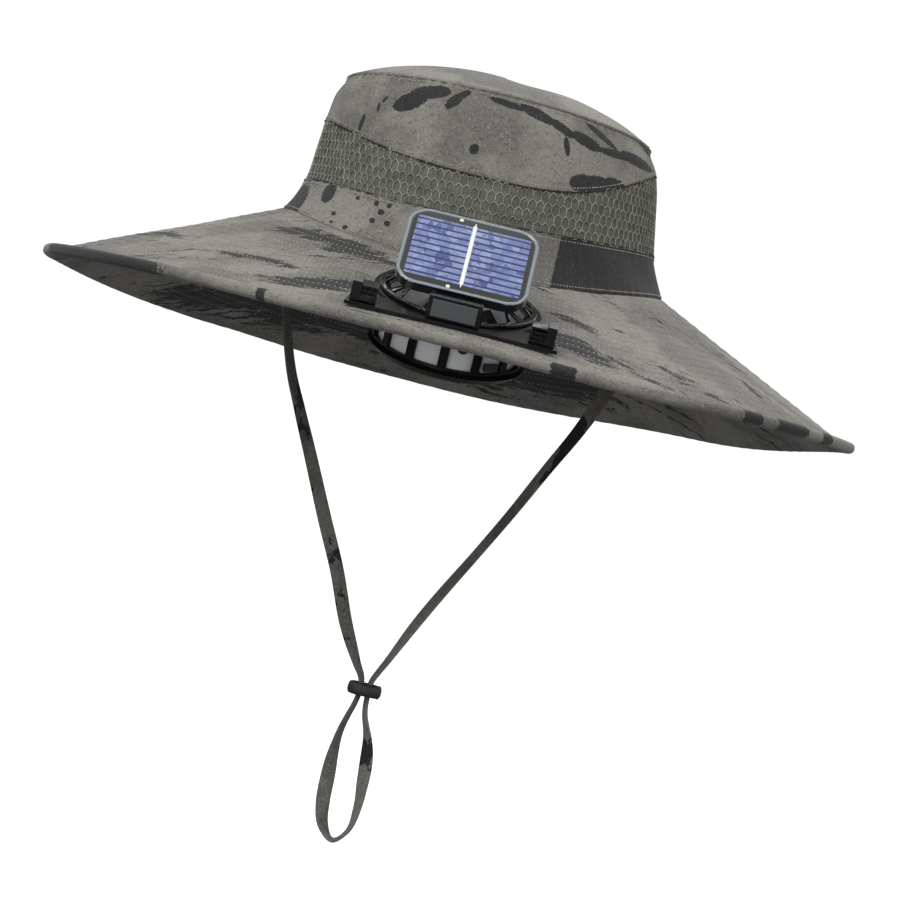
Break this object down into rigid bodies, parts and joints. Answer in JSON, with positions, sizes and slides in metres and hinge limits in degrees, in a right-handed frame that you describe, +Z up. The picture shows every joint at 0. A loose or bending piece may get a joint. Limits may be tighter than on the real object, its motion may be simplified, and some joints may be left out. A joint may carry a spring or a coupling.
{
  "type": "solar fan hat",
  "caption": "Wide-brimmed camouflage cloth hat with a net band, a solar-driven fan through the front of its brim and a chin strap with a slider.",
  "frame": {"origin": "centre of the crown's opening, level with the base seam at the sides, where the hat sits on a head", "axes": "+Z up through the crown, the front with the fan faces -Y, +X towards the wearer's left"},
  "size_m": [0.39, 0.404, 0.364],
  "materials": {
    "camouflage_cloth": "matte printed polyester in warm grey with charcoal blotches",
    "net_cloth": "matte knitted net in olive grey",
    "strap_cloth": "matte printed strap",
    "black_gloss_plastic": "glossy moulded plastic",
    "grey_plastic": "satin light grey plastic",
    "grey_matte_plate": "matte grey plate",
    "motor_steel": "plain steel can",
    "black_rubber": "matte rubber",
    "panel_resin": "clear-coated resin frame",
    "cell_blue": "blue silicon cell under clear resin",
    "busbar_silver": "tinned conductor",
    "pin_steel": "plain steel pin"
  },
  "bodies": {
    "hat": {"crown_top": "camouflage_cloth", "crown_side": "camouflage_cloth", "crown_mesh": "net_cloth", "crown_band": "camouflage_cloth", "brim": "camouflage_cloth", "brim_binding": "camouflage_cloth", "chin_strap": "strap_cloth", "strap_slider": "black_rubber", "fan_flange": "black_gloss_plastic", "fan_lug_left": "black_gloss_plastic", "fan_lug_right": "black_gloss_plastic", "fan_guard": "black_gloss_plastic", "fan_housing": "black_gloss_plastic", "fan_duct": "grey_plastic", "fan_switch": "black_rubber", "fan_port": "black_rubber", "fan_motor": "motor_steel", "hinge_block": "black_gloss_plastic", "block_plate": "grey_matte_plate", "hinge_pin": "pin_steel"},
    "impeller": {"fan_impeller": "black_gloss_plastic"},
    "solar_panel": {"panel_frame": "panel_resin", "panel_cell": "cell_blue", "panel_busbar": "busbar_silver"}
  },
  "joints": [
    {"name": "impeller_spin", "type": "hinge", "parent": "hat", "child": "impeller", "pos_m": [0, -0.14841, -0.03202], "axis": [0, -0.3404, 0.9403], "continuous": true},
    {"name": "panel_tilt", "type": "hinge", "parent": "hat", "child": "solar_panel", "pos_m": [0, -0.17267, -0.03112], "axis": [1, 0, 0], "range_deg": [-14, 45]}
  ]
}
